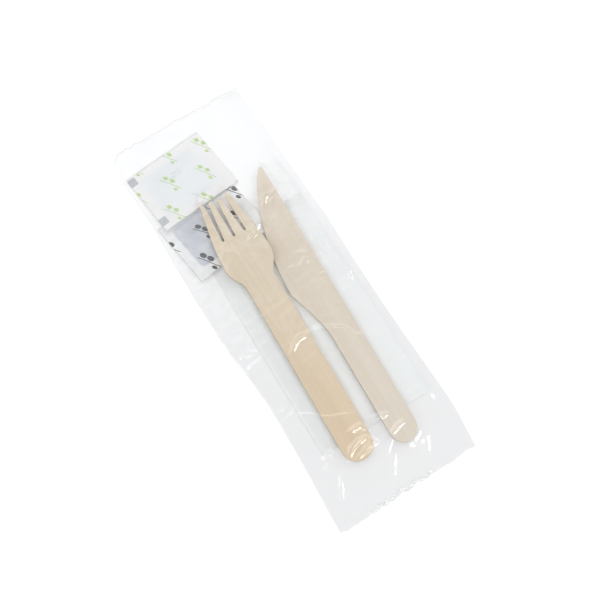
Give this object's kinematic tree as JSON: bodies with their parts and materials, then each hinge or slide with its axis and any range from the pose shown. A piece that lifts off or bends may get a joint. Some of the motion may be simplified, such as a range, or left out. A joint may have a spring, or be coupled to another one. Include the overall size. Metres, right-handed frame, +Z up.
{
  "type": "wooden cutlery kit",
  "caption": "Flat clear film bag holding a birch fork and knife, a folded paper napkin and paper sachets of salt and pepper, for a takeaway meal.",
  "frame": {"origin": "middle of the bag's back, on the surface it lies on", "axes": "+Y along the bag towards the tips of the cutlery, +Z up through the front film, +X towards the knife"},
  "size_m": [0.0814, 0.233, 0.0088],
  "materials": {
    "film": "clear gloss",
    "birch_fork": "sanded, bare",
    "birch_knife": "sanded, bare",
    "tissue": "embossed tissue",
    "salt_paper": "coated, printed",
    "pepper_paper": "coated, printed"
  },
  "bodies": {
    "root": {"bag": "film", "fork": "birch_fork", "knife": "birch_knife", "napkin": "tissue", "salt_sachet": "salt_paper", "pepper_sachet": "pepper_paper"}
  },
  "joints": []
}
